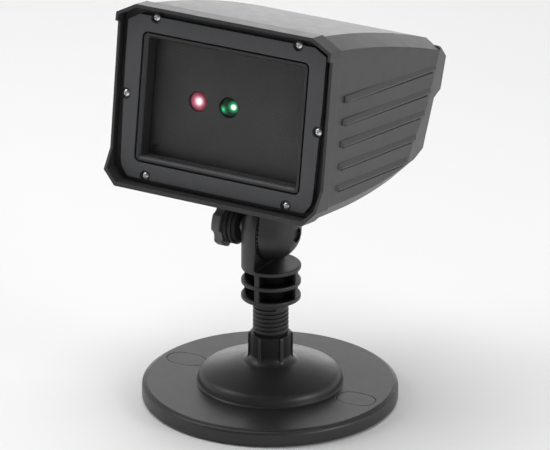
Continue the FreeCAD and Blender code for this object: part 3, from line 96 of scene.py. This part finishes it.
class Nodes:
    """Short ways to add nodes to a tree; values may be numbers or sockets."""

    def __init__(self, tree, coords):
        self.tree = tree
        self.pos = self.new("ShaderNodeTexCoord").outputs[coords]

    def new(self, kind, **inputs):
        """Add a node; an underscore in an input's name stands for a space."""
        node = self.tree.nodes.new(kind)
        for key, value in inputs.items():
            self.put(node.inputs[key.replace("_", " ")], value)
        return node

    def put(self, socket, value):
        if isinstance(value, bpy.types.NodeSocket):
            self.tree.links.new(value, socket)
        else:
            socket.default_value = value

    def math(self, operation, a, b=None, clamp=False):
        node = self.new("ShaderNodeMath")
        node.operation = operation
        node.use_clamp = clamp
        self.put(node.inputs[0], a)
        if b is not None:
            self.put(node.inputs[1], b)
        return node.outputs[0]

    def times(self, first, *others):
        for other in others:
            first = self.math("MULTIPLY", first, other)
        return first

    def vmath(self, operation, a, b):
        node = self.new("ShaderNodeVectorMath")
        node.operation = operation
        self.put(node.inputs[0], a)
        self.put(node.inputs[1], b)
        is_number = operation in ("DISTANCE", "DOT_PRODUCT")
        return node.outputs["Value" if is_number else "Vector"]

    def xyz(self):
        return self.new("ShaderNodeSeparateXYZ", Vector=self.pos).outputs

    def noise(self, scale, detail=2.0, rough=0.5, stretch=None):
        vector = self.pos if stretch is None else self.vmath("MULTIPLY", self.pos, stretch)
        return self.new("ShaderNodeTexNoise", Vector=vector, Scale=scale, Detail=detail,
                        Roughness=rough).outputs["Fac"]

    def cells(self, scale):
        return self.new("ShaderNodeTexVoronoi", Vector=self.pos, Scale=scale).outputs["Distance"]

    def span(self, value, start, end, low=0.0, high=1.0, smooth=False):
        """Run from low to high as value goes from start to end, and hold beyond them."""
        node = self.new("ShaderNodeMapRange", Value=value, From_Min=start, From_Max=end,
                        To_Min=low, To_Max=high)
        if smooth:
            node.interpolation_type = "SMOOTHSTEP"
        return node.outputs["Result"]

    def mix(self, factor, a, b):
        """Blend two colours, each an RGB triple or a socket."""
        node = self.new("ShaderNodeMix")
        node.data_type = "RGBA"
        self.put(node.inputs["Factor"], factor)
        for side, colour in (("A", a), ("B", b)):
            if not isinstance(colour, bpy.types.NodeSocket):
                colour = (*colour, 1.0)
            socket = [s for s in node.inputs if s.name == side and s.type == "RGBA"][0]
            self.put(socket, colour)
        return [s for s in node.outputs if s.type == "RGBA"][0]

    def edges(self, radius):
        """A mask near 1 on sharp edges, from how far a rounded normal leans, and that normal."""
        bevel = self.new("ShaderNodeBevel", Radius=radius)
        bevel.samples = 4
        rounded = bevel.outputs["Normal"]
        flat = self.new("ShaderNodeNewGeometry").outputs["Normal"]
        return self.span(self.vmath("DOT_PRODUCT", rounded, flat), 0.995, 0.80), rounded


class Material(Nodes):
    def __init__(self, name):
        self.name = name
        self.material = bpy.data.materials.new(name)
        self.material.use_nodes = True
        tree = self.material.node_tree
        tree.nodes.clear()
        self.surface = tree.nodes.new("ShaderNodeOutputMaterial").inputs["Surface"]
        super().__init__(tree, "Object")

    def finish(self, shader):
        self.put(self.surface, shader.outputs[0])
        MATS[self.name] = self.material


# ------------------------------------------------------------------ painted shade where parts close in
# Each function gives the share of light kept, from object coordinates in metres.
def keep_light(mat, mask, shade):
    return mat.math("SUBTRACT", 1.0, mat.math("MULTIPLY", mask, shade), True)


def axis_distance(mat, x, y):
    return mat.math("SQRT", mat.math("ADD", mat.times(x, x), mat.times(y, y)))


def post_painted_shade(mat):
    """Painted shade between the flange discs and on the knuckle face under the ball."""
    x, y, z = mat.xyz()
    inside = mat.span(axis_distance(mat, x, y), 0.0171, 0.0150)
    band = mat.times(mat.span(z, 0.0622, 0.0630), mat.span(z, 0.0838, 0.0832))
    gap = mat.times(inside, band)
    face = mat.times(mat.span(x, -0.0024, -0.0012), mat.span(z, 0.0960, 0.0880),
                     mat.span(z, 0.0836, 0.0842))
    return keep_light(mat, mat.math("MAXIMUM", gap, face), shade=0.88)


def knob_painted_shade(mat):
    """Painted shade on the ringed hub, where the grip and the head shade it."""
    return keep_light(mat, mat.span(mat.xyz()[0], -0.0268, -0.0258), shade=0.72)


def neck_painted_shade(mat):
    """Painted shade on the underside of the tilting ball, darker towards the joint."""
    return keep_light(mat, mat.span(mat.xyz()[2], 0.0990, 0.0885), shade=0.70)


def collar_painted_shade(mat):
    """Painted shade close in to the axis, from the foot of the socket collar upwards."""
    x, y, z = mat.xyz()
    inside = mat.span(axis_distance(mat, x, y), 0.0128, 0.0120)
    return keep_light(mat, mat.times(inside, mat.span(z, 0.0255, 0.0290)), shade=0.55)


# ------------------------------------------------------------------ kinds of material
def surface(name, dark, light, rough, grain, depth, edge=None, edge_r=0.0005, patch=28.0,
            cell=False, metallic=0.0, stretch=None, spec=0.5, edge_wear_and_highlight=0.5, coat=0.0, spread=0.05,
            mottle=0.45, painted_shade=None):
    """A grained, unevenly worn surface.

    Colour drifts between dark and light, in large patches by the share mottle and in fine
    grain by the rest. grain and patch are noise scales and depth is the grain's height.
    Sharp edges, rounded by edge_r, take the edge colour, part wear and part painted highlight, by
    a share set for each material. Roughness varies by spread, cell adds a pebbled grain and
    stretch draws the grain out.
    """
    mat = Material(name)
    fine = mat.noise(grain, rough=0.6, stretch=stretch)
    tone = mat.math("ADD", mat.times(mat.noise(patch, detail=3.0, rough=0.55), mottle),
                    mat.times(fine, 1.0 - mottle))
    colour = mat.mix(mat.span(tone, 0.33, 0.67), dark, light)

    # Painted highlight and wear on sharp edges: they are lightened, scuffs break this up, and
    # these edges are also smoother.
    edge_mask, soft_normal = mat.edges(edge_r)
    scuff = mat.span(mat.noise(340.0, detail=4.0, rough=0.7), 0.42, 0.66, low=0.15)
    edge_wear_and_highlight_mask = mat.math("MULTIPLY", mat.times(edge_mask, scuff), edge_wear_and_highlight, True)
    colour = mat.mix(edge_wear_and_highlight_mask, colour, edge or [min(1.0, c * 1.9 + 0.02) for c in light])
    roughness = mat.span(mat.noise(patch * 4.0, detail=3.0, rough=0.6), 0.35, 0.65,
                         rough - spread, rough + spread)
    roughness = mat.math("SUBTRACT", roughness, mat.times(edge_wear_and_highlight_mask, 0.10), True)

    height = fine
    if cell:
        height = mat.math("ADD", mat.times(mat.cells(grain * 0.55), 0.7), mat.times(fine, 0.5))
    bump = mat.new("ShaderNodeBump", Strength=1.0, Distance=depth, Height=height,
                   Normal=soft_normal)
    if painted_shade:
        # Painted shade where the shape closes in: colour and specular are darkened there.
        light_kept = painted_shade(mat)
        colour = mat.mix(light_kept, (0.003, 0.003, 0.003), colour)
        spec = mat.times(light_kept, spec)
    shader = mat.new("ShaderNodeBsdfPrincipled", Roughness=roughness, Metallic=metallic,
                     Normal=bump.outputs["Normal"], Base_Color=colour, Specular_IOR_Level=spec)
    if coat:
        mat.put(shader.inputs["Coat Weight"], coat)
        mat.put(shader.inputs["Coat Roughness"], 0.08)
    mat.finish(shader)


def clear_glass(name):
    """Nearly clear, with a faint smeared reflection."""
    mat = Material(name)
    smear = mat.span(mat.noise(22.0, detail=4.0, rough=0.6), 0.4, 0.7, 0.012, 0.05)
    tint = mat.mix(mat.span(mat.noise(60.0, detail=3.0), 0.3, 0.7),
                   (0.93, 0.93, 0.93), (0.955, 0.955, 0.955))
    through = mat.new("ShaderNodeBsdfTransparent", Color=tint)
    gloss = mat.new("ShaderNodeBsdfGlossy", Roughness=smear)
    fresnel = mat.new("ShaderNodeFresnel", IOR=1.45)
    shader = mat.new("ShaderNodeMixShader")
    mat.put(shader.inputs[0], mat.math("MULTIPLY", fresnel.outputs[0], 0.10, True))
    mat.put(shader.inputs[1], through.outputs[0])
    mat.put(shader.inputs[2], gloss.outputs[0])
    mat.finish(shader)


def lit_lens(name, lens_x, base, edge, spots):
    """A lens lit from behind, going from base at the middle to edge, with brighter spots: glow,
    and a white painted highlight that also glows.

    spots are (offset from the middle, core radius, halo radius, core colour, halo colour,
    strength), in metres.
    """
    mat = Material(name)
    centre = head(lens_x, LENS_GLOW_Y, LENS_Z)
    out = mat.vmath("DISTANCE", mat.pos, tuple(centre))
    colour = mat.mix(mat.span(out, 0.0038, 0.0059), base, edge)
    power = mat.span(out, 0.0, 0.0060, 0.5, 0.15)
    for offset, core_r, halo_r, core, halo, strength in spots:
        away = mat.vmath("DISTANCE", mat.pos, tuple(centre + Vector(offset)))
        ripple = mat.math("SUBTRACT", mat.noise(420.0, detail=1.0, rough=0.4), 0.5)
        away = mat.math("ADD", away, mat.times(ripple, 0.0004))
        colour = mat.mix(mat.span(away, halo_r, core_r), colour, halo)
        colour = mat.mix(mat.span(away, core_r, core_r * 0.55), colour, core)
        power = mat.math("MAXIMUM", power, mat.span(away, core_r * 0.6, halo_r, strength, 0.0))
    bump = mat.new("ShaderNodeBump", Strength=0.15, Distance=0.00001,
                   Height=mat.noise(2600.0, detail=1.0, rough=0.4))
    mat.finish(mat.new(
        "ShaderNodeBsdfPrincipled",
        Roughness=mat.span(mat.noise(300.0), 0.3, 0.7, 0.05, 0.10),
        Normal=bump.outputs["Normal"],
        Base_Color=mat.mix(0.7, colour, (0.01, 0.01, 0.01)),
        Specular_IOR_Level=0.30,
        Emission_Color=colour,
        Emission_Strength=power))


# ------------------------------------------------------------------ finishes by record slot
# name, dark colour, light colour, roughness, grain scale, grain depth (m), other settings
PLASTICS = [
    ("base_plastic", (0.021, 0.021, 0.022), (0.025, 0.025, 0.026), 0.40, 1500.0, 16e-6,
     dict(edge_r=0.0006, cell=True, edge_wear_and_highlight=0.35, mottle=0.20, spread=0.02, painted_shade=collar_painted_shade)),
    ("post_plastic", (0.014, 0.014, 0.015), (0.021, 0.021, 0.023), 0.44, 1700.0, 18e-6,
     dict(edge_r=0.0004, edge_wear_and_highlight=0.4, painted_shade=post_painted_shade)),
    ("knob_plastic", (0.088, 0.088, 0.089), (0.106, 0.106, 0.107), 0.44, 1600.0, 16e-6,
     dict(edge_wear_and_highlight=0.55, painted_shade=knob_painted_shade)),
    ("shell_plastic", (0.030, 0.030, 0.031), (0.035, 0.035, 0.037), 0.42, 1300.0, 16e-6,
     dict(cell=True, edge_wear_and_highlight=0.4, mottle=0.15, spread=0.02)),
    ("bezel_plastic", (0.062, 0.063, 0.068), (0.078, 0.079, 0.085), 0.47, 1250.0, 24e-6,
     dict(cell=True, edge_wear_and_highlight=0.30, mottle=0.35)),
    ("frame_plastic", (0.022, 0.022, 0.024), (0.032, 0.033, 0.036), 0.40, 1500.0, 14e-6,
     dict(edge_wear_and_highlight=0.7)),
    ("panel_plastic", (0.068, 0.068, 0.069), (0.078, 0.078, 0.079), 0.62, 420.0, 1.5e-6,
     dict(edge_r=0.0003, edge_wear_and_highlight=0.15, mottle=0.60)),
    ("inlet_plastic", (0.012, 0.012, 0.012), (0.020, 0.020, 0.020), 0.28, 1400.0, 8e-6,
     dict(edge_r=0.0003)),
]
OTHERS = [
    ("seal_rubber", (0.008, 0.008, 0.008), (0.014, 0.014, 0.014), 0.72, 1800.0, 20e-6,
     dict(edge_wear_and_highlight=0.1)),
    ("foam_rubber", (0.012, 0.012, 0.012), (0.022, 0.022, 0.022), 0.88, 900.0, 120e-6,
     dict(cell=True, edge_wear_and_highlight=0.1)),
    ("screw_chrome", (0.62, 0.62, 0.63), (0.80, 0.80, 0.81), 0.20, 2400.0, 6e-6,
     dict(edge=(0.95, 0.95, 0.96), edge_r=0.0002, metallic=1.0)),
    ("zinc_steel", (0.42, 0.43, 0.45), (0.60, 0.61, 0.63), 0.34, 2200.0, 8e-6,
     dict(edge=(0.80, 0.81, 0.83), edge_r=0.0002, metallic=1.0)),
    ("black_steel", (0.014, 0.014, 0.014), (0.026, 0.026, 0.027), 0.36, 1800.0, 10e-6,
     dict(edge=(0.16, 0.16, 0.17), edge_r=0.0003, edge_wear_and_highlight=0.7)),
    ("weight_iron", (0.08, 0.08, 0.08), (0.16, 0.155, 0.15), 0.70, 800.0, 120e-6,
     dict(cell=True, metallic=0.8)),
    ("insert_brass", (0.60, 0.42, 0.17), (0.78, 0.58, 0.27), 0.30, 1800.0, 10e-6,
     dict(edge=(0.92, 0.76, 0.44), edge_r=0.0002, metallic=1.0, stretch=(1.0, 1.0, 6.0))),
    ("module_brass", (0.56, 0.40, 0.17), (0.74, 0.55, 0.27), 0.28, 1800.0, 10e-6,
     dict(edge=(0.90, 0.74, 0.42), edge_r=0.0002, metallic=1.0, stretch=(1.0, 7.0, 1.0))),
    ("sink_aluminium", (0.60, 0.61, 0.63), (0.76, 0.77, 0.79), 0.33, 1600.0, 12e-6,
     dict(edge=(0.9, 0.9, 0.92), edge_r=0.0002, metallic=1.0, stretch=(1.0, 0.12, 1.0))),
    ("board_green", (0.010, 0.085, 0.030), (0.018, 0.130, 0.050), 0.30, 1300.0, 14e-6,
     dict(edge=(0.40, 0.38, 0.20), edge_r=0.0002, cell=True)),
    ("chip_black", (0.014, 0.014, 0.015), (0.024, 0.024, 0.025), 0.48, 2600.0, 14e-6,
     dict(edge_r=0.0001)),
    ("capacitor_sleeve", (0.010, 0.014, 0.050), (0.018, 0.024, 0.080), 0.26, 1500.0, 6e-6,
     dict(edge_r=0.0002)),
    ("terminal_green", (0.020, 0.190, 0.060), (0.035, 0.270, 0.090), 0.38, 1500.0, 10e-6,
     dict(edge_r=0.0002)),
    ("sensor_face", (0.060, 0.050, 0.044), (0.120, 0.098, 0.080), 0.30, 2200.0, 10e-6,
     dict(edge_r=0.0001, coat=0.5)),
    ("wire_red", (0.300, 0.012, 0.012), (0.420, 0.022, 0.020), 0.36, 1500.0, 8e-6,
     dict(edge_r=0.0001)),
    ("wire_black", (0.010, 0.010, 0.010), (0.020, 0.020, 0.020), 0.38, 1500.0, 8e-6,
     dict(edge_r=0.0001)),
    ("neck_plastic_painted_shade", (0.013, 0.013, 0.014), (0.019, 0.019, 0.021), 0.44, 1700.0, 18e-6,
     dict(edge_r=0.0004, edge_wear_and_highlight=0.4, mottle=0.25, painted_shade=neck_painted_shade)),
]
# Per lens, the first spot is glow from the lamp and the second, white one is a painted highlight,
# drawn as glow.
RED_GLOW_AND_HIGHLIGHT_SPOTS = [
    ((0.0, 0.0, 0.0), 0.0016, 0.0060, (0.95, 0.42, 0.52), (0.82, 0.20, 0.31), 0.95),
    ((0.0007, 0.0, 0.0002), 0.0021, 0.0034, (1.0, 0.97, 0.98), (1.0, 0.66, 0.74), 1.3),
]
GREEN_GLOW_AND_HIGHLIGHT_SPOTS = [
    ((-0.0034, 0.0, -0.0016), 0.0014, 0.0034, (0.05, 0.62, 0.24), (0.01, 0.30, 0.10), 1.0),
    ((0.0030, 0.0, 0.0008), 0.0020, 0.0042, (0.92, 1.0, 0.96), (0.01, 0.42, 0.14), 1.3),
]

for *row, settings in PLASTICS:
    surface(*row, **settings)
clear_glass("clear_glass")
lit_lens("lens_red", RED_X, base=(0.62, 0.10, 0.17), edge=(0.30, 0.03, 0.06), spots=RED_GLOW_AND_HIGHLIGHT_SPOTS)
lit_lens("lens_green", GREEN_X, base=(0.002, 0.040, 0.016), edge=(0.002, 0.012, 0.006),
         spots=GREEN_GLOW_AND_HIGHLIGHT_SPOTS)
for *row, settings in OTHERS:
    surface(*row, **settings)

# Each piece takes the material of its record slot. The tilting neck takes its own slightly darker
# plastic, which carries painted shade on the ball's underside.
for part in frame["record"]["subparts"]:
    node = part["node"]
    slots = frame["nodes"][node].data.materials
    slots.clear()
    slots.append(MATS["neck_plastic_painted_shade" if node == "tilt_neck" else part["material_slot"]])


# ------------------------------------------------------------------ meshes on the head
def link(name, data):
    obj = bpy.data.objects.new(name, data)
    bpy.context.scene.collection.objects.link(obj)
    return obj


def add_mesh(name, verts, faces, slot, smooth=False):
    mesh = bpy.data.meshes.new(name)
    mesh.from_pydata([tuple(v) for v in verts], [], faces)
    mesh.validate()
    mesh.update()
    for polygon in mesh.polygons:
        polygon.use_smooth = smooth
    obj = link(name, mesh)
    mesh.materials.append(MATS[slot])
    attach(obj, "head")


def ribbon(points, width, y_front, y_back):
    """A closed flat track following points (x, z) on the face of the head."""
    left, right = [], []
    for i, (x, z) in enumerate(points):
        before = points[max(0, i - 1)]
        after = points[min(len(points) - 1, i + 1)]
        dx, dz = after[0] - before[0], after[1] - before[1]
        length = math.hypot(dx, dz)
        side_x, side_z = -dz / length * width / 2, dx / length * width / 2
        left.append((x + side_x, z + side_z))
        right.append((x - side_x, z - side_z))
    loop = left + right[::-1]
    n = len(loop)
    verts = [head(x, y, z) for y in (y_front, y_back) for x, z in loop]
    faces = []
    for i in range(len(points) - 1):
        faces.append((i, i + 1, n - 2 - i, n - 1 - i))
        faces.append((n + i, 2 * n - 1 - i, 2 * n - 2 - i, n + i + 1))
    for i in range(n):
        j = (i + 1) % n
        faces.append((i, n + i, n + j, j))
    return verts, faces


def sensor_track():
    """Rows across the photocell, run in turn to the right and to the left."""
    points = []
    for row in range(TRACK_ROWS):
        z = TRACK_Z - TRACK_HALF_HEIGHT + 2 * TRACK_HALF_HEIGHT * row / (TRACK_ROWS - 1)
        half = math.sqrt(TRACK_RADIUS ** 2 - (z - TRACK_Z) ** 2)
        if row % 2:
            half = -half
        points += [(TRACK_X - half, z), (TRACK_X + half, z)]
    verts, faces = ribbon(points, TRACK_WIDTH, TRACK_FRONT_Y, TRACK_BACK_Y)
    add_mesh("sensor_track", verts, faces, "chip_black")


def lens_dome(name, centre_x, slot, rings=14, steps=72):
    """A convex lens cap with a chamfered rim, filling the light opening."""
    dome_radius = LENS_RADIUS - LENS_CHAMFER
    back_y = LENS_RIM_Y + LENS_SKIRT
    # (radius, y) from the back of the skirt to just short of the top
    profile = [(LENS_RADIUS, back_y), (LENS_RADIUS, LENS_RIM_Y + LENS_CHAMFER)]
    for ring in range(rings):
        angle = math.pi / 2 * ring / rings
        profile.append((dome_radius * math.cos(angle),
                        LENS_RIM_Y + (LENS_TOP_Y - LENS_RIM_Y) * math.sin(angle)))
    verts, faces = [], []
    for k in range(steps):
        angle = 2 * math.pi * k / steps
        for r, y in profile:
            verts.append(head(centre_x + r * math.cos(angle), y, LENS_Z + r * math.sin(angle)))
    m = len(profile)
    for k in range(steps):
        j = (k + 1) % steps
        for i in range(m - 1):
            faces.append((k * m + i, k * m + i + 1, j * m + i + 1, j * m + i))
    top = len(verts)
    verts += [head(centre_x, LENS_TOP_Y, LENS_Z), head(centre_x, back_y, LENS_Z)]
    for k in range(steps):
        j = (k + 1) % steps
        faces.append((k * m + m - 1, top, j * m + m - 1))
        faces.append((k * m, j * m, top + 1))
    add_mesh(name, verts, faces, slot, smooth=True)


def serrated_strip(name, front_y, front_z, half_length):
    """A low strip with a saw-tooth crest, lying along the lower window wall."""
    back_y, back_z = front_y + STRIP_DEPTH, front_z + STRIP_RISE
    n = round(2 * half_length / TOOTH_PITCH) * 2
    verts, faces = [], []
    for i in range(n + 1):
        x = -half_length + 2 * half_length * i / n
        crest = TOOTH_HEIGHT if i % 2 else TOOTH_HEIGHT * 0.25
        section = [
            (front_y, front_z - STRIP_SINK),
            (front_y + STRIP_SHOULDER, front_z + crest * 0.55),
            ((front_y + back_y) / 2, (front_z + back_z) / 2 + crest),
            (back_y - STRIP_SHOULDER, back_z + crest * 0.55),
            (back_y, back_z - STRIP_SINK),
        ]
        verts += [head(x, y, z) for y, z in section]
    for i in range(n):
        a, b = i * 5, i * 5 + 5
        for k in range(5):
            j = (k + 1) % 5
            faces.append((a + k, a + j, b + j, b + k))
    faces.append(tuple(range(5))[::-1])
    faces.append(tuple(n * 5 + k for k in range(5)))
    add_mesh(name, verts, faces, "frame_plastic")


sensor_track()
lens_dome("red_lens_dome", RED_X, "lens_red")
lens_dome("green_lens_dome", GREEN_X, "lens_green")
for strip in STRIPS:
    serrated_strip(*strip)


# ------------------------------------------------------------------ studio
def add_floor(cells=24, half=12.0, z=-0.00005):
    """A pale matt floor, just under the base."""
    mesh = bpy.data.meshes.new("floor")
    row = cells + 1
    ticks = [-half + 2 * half * i / cells for i in range(row)]
    verts = [(x, y, z) for y in ticks for x in ticks]
    corners = [j * row + i for j in range(cells) for i in range(cells)]
    mesh.from_pydata(verts, [], [(c, c + 1, c + row + 1, c + row) for c in corners])
    floor = link("floor", mesh)
    mat = Material("floor")
    tint = mat.mix(mat.span(mat.noise(2.0), 0.3, 0.7), (0.90, 0.90, 0.90), (0.92, 0.92, 0.92))
    mat.finish(mat.new("ShaderNodeBsdfPrincipled", Roughness=0.9, Base_Color=tint,
                       Specular_IOR_Level=0.1))
    mesh.materials.append(MATS["floor"])


def add_world():
    """White surroundings: bright at the horizon, dimmer overhead and in front."""
    world = bpy.data.worlds.new("studio")
    bpy.context.scene.world = world
    world.use_nodes = True
    background = world.node_tree.nodes["Background"]
    background.inputs["Color"].default_value = (1.0, 1.0, 1.0, 1.0)
    sky = Nodes(world.node_tree, "Generated")
    height = sky.xyz()[2]
    horizon = sky.span(height, 0.04, 0.30, low=1.35, high=0.78, smooth=True)
    overhead = sky.span(height, 0.42, 0.60, low=1.0, high=0.50, smooth=True)
    facing = sky.vmath("DOT_PRODUCT", sky.pos, compass(azimuth=20.0, elevation=22.0))
    front = sky.span(facing, 0.30, 0.92, low=0.80, high=0.26, smooth=True)
    sky.put(background.inputs["Strength"], sky.times(horizon, overhead, front))


# name, place, point aimed at, side (m), power (W)
LIGHTS = [
    ("key", (-1.0, -0.5, 1.3), (0, 0, 0.12), 0.8, 5.5),
    ("top", (-0.15, 0.1, 1.6), (0, 0.05, 0.15), 1.1, 15.0),
    ("right", (1.35, -0.05, 0.55), (0, 0, 0.15), 0.6, 5.0),
    ("back", (-0.8, 1.5, 0.16), (0, 0, 0.18), 0.9, 5.2),
]


def add_light(name, place, aim, side, power):
    light = bpy.data.lights.new(name, "AREA")
    light.shape = "RECTANGLE"
    light.size = light.size_y = side
    light.energy = power
    obj = link(name, light)
    obj.location = place
    obj.rotation_mode = "QUATERNION"
    obj.rotation_quaternion = (Vector(aim) - Vector(place)).to_track_quat("-Z", "Y")


def add_camera(azimuth=29.27, elevation=21.72, roll=0.52, distance=2.621,
               shift=0.0020, target_z=0.10739):
    """A long lens, aimed at a point moved by shift to the camera's right of the axis."""
    back = compass(azimuth, elevation)
    cos_az, sin_az = math.cos(math.radians(azimuth)), math.sin(math.radians(azimuth))
    target = Vector((shift * cos_az, shift * sin_az, target_z))
    right = Vector((cos_az, sin_az, 0.0))
    up = right.cross(-back)
    c, s = math.cos(math.radians(roll)), math.sin(math.radians(roll))
    turn = Matrix((right * c + up * s, up * c - right * s, back)).transposed()
    camera = bpy.data.cameras.new("camera")
    camera.sensor_width = 36.0
    camera.sensor_fit = "HORIZONTAL"
    camera.lens = 297.294545
    camera.clip_start, camera.clip_end = 0.05, 60.0
    obj = link("camera", camera)
    obj.matrix_world = Matrix.Translation(target + back * distance) @ turn.to_4x4()
    bpy.context.scene.camera = obj


add_floor()
add_world()
for light_row in LIGHTS:
    add_light(*light_row)
add_camera()
bpy.context.scene.view_settings.view_transform = "Standard"

bpy.context.view_layer.update()
